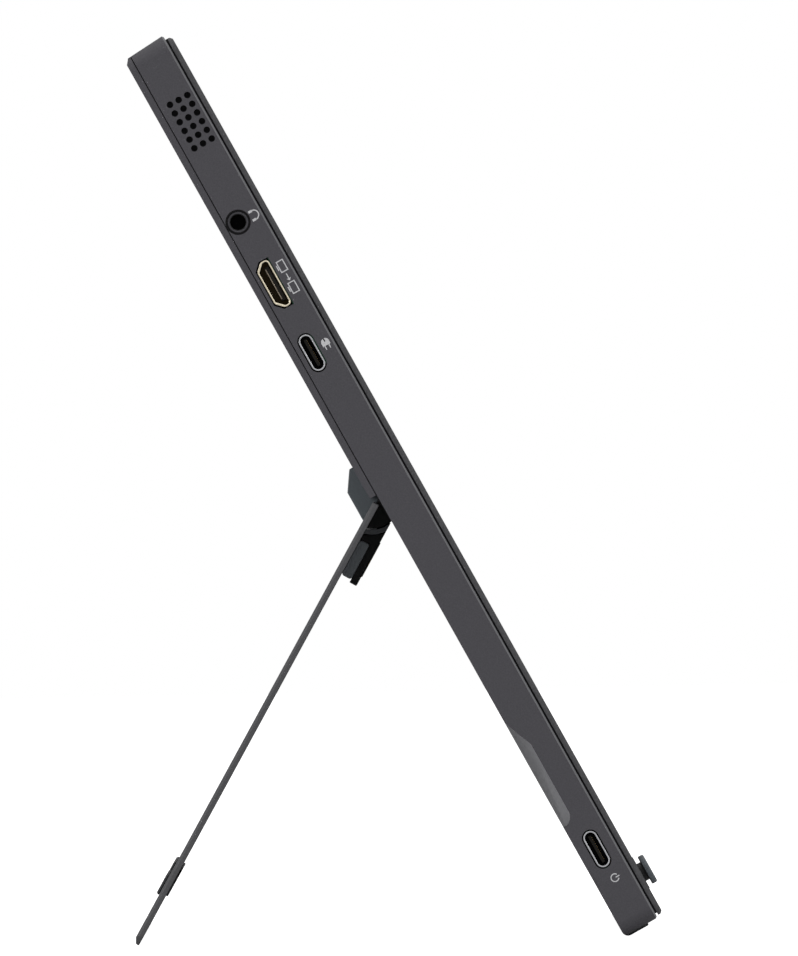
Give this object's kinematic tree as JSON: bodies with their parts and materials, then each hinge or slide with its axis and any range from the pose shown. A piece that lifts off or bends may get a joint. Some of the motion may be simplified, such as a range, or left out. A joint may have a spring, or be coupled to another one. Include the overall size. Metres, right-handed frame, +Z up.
{
  "type": "portable monitor",
  "caption": "Slim portable monitor with a full-width stand plate that folds flat over its back, a friction hinge, edge sockets, speakers and a navigation stick.",
  "frame": {"origin": "centre of the bounding box, on the surface that the monitor stands on", "axes": "+X runs across the width, away from the side with the sockets. +Y runs from the screen to the stand. +Z is up. The monitor is in its rest pose, leaning back on the open stand."},
  "size_m": [0.362, 0.1184, 0.2043],
  "materials": {
    "housing": "satin, fine texture",
    "hinge_trim": "satin",
    "black_plastic": "matt",
    "saddle_grey": "satin",
    "stand_paint": "dark coating, satin",
    "screen": "dark, anti-glare",
    "sheet_white": "matt",
    "guide_clear": "clear",
    "tray_metal": "plain",
    "led_white": "satin",
    "foam": "matt",
    "rubber": "matt",
    "board": "satin",
    "flex": "satin",
    "steel": "satin",
    "screw_black": "blackened",
    "brass": "satin",
    "gold_plate": "polished",
    "bronze": "dull",
    "nylon": "satin"
  },
  "bodies": {
    "monitor": {"front_bezel": "housing", "screen_gasket": "foam", "screen_glass": "screen", "diffuser_sheets": "sheet_white", "light_guide": "guide_clear", "reflector_sheet": "sheet_white", "led_strip": "led_white", "backlight_tray": "tray_metal", "timing_board": "board", "screen_flexes": "flex", "display_cable": "black_plastic", "rear_shell": "housing", "rear_panel": "housing", "foot_strips": "rubber", "case_screws": "screw_black", "main_board": "board", "board_chips": "black_plastic", "shield_can": "steel", "power_board": "board", "power_cable": "black_plastic", "board_screws": "steel", "headphone_jack": "black_plastic", "video_socket_shell": "gold_plate", "video_socket_tongue": "black_plastic", "data_socket_shell": "steel", "data_socket_tongue": "black_plastic", "power_socket_shell": "steel", "power_socket_tongue": "black_plastic", "speaker_left": "black_plastic", "speaker_right": "black_plastic", "speaker_cones": "black_plastic", "speaker_cloths": "foam", "speaker_gaskets": "foam", "hinge_cover": "hinge_trim", "hinge_drum": "black_plastic", "hinge_brackets": "steel", "bracket_screws": "steel", "nav_switch_base": "steel"},
    "stand": {"stand_plate": "stand_paint", "grip_strips": "rubber", "hinge_arms": "steel", "arm_screws": "steel", "hinge_shafts": "steel", "friction_washers": "bronze", "disc_springs": "steel", "lock_nuts": "steel", "tripod_block": "hinge_trim", "block_cover": "black_plastic", "block_saddle": "saddle_grey", "tripod_insert": "brass", "cover_screws": "screw_black"},
    "nav_ring": {"nav_gimbal_ring": "nylon"},
    "nav_cup": {"nav_cup": "black_plastic"},
    "nav_stick": {"nav_plunger": "nylon", "nav_cap": "hinge_trim"}
  },
  "joints": [
    {"name": "stand_hinge", "type": "hinge", "parent": "monitor", "child": "stand", "pos_m": [0, 0.00434, 0.09844], "axis": [1, 0, 0], "range_deg": [-57.9, 32.1]},
    {"name": "nav_tilt_up_down", "type": "hinge", "parent": "monitor", "child": "nav_ring", "pos_m": [-0.167, -0.05148, 0.01235], "axis": [1, 0, 0], "range_deg": [-5.5, 5.5], "stiffness_Nm_per_rad": 0.03},
    {"name": "nav_tilt_left_right", "type": "hinge", "parent": "nav_ring", "child": "nav_cup", "pos_m": [-0.167, -0.05148, 0.01235], "axis": [0, 0.4726, 0.8813], "range_deg": [-5.5, 5.5], "stiffness_Nm_per_rad": 0.03},
    {"name": "nav_press", "type": "slide", "parent": "nav_cup", "child": "nav_stick", "axis": [0, 0.8813, -0.4726], "range_m": [0, 0.00025], "stiffness_N_per_m": 3000}
  ]
}
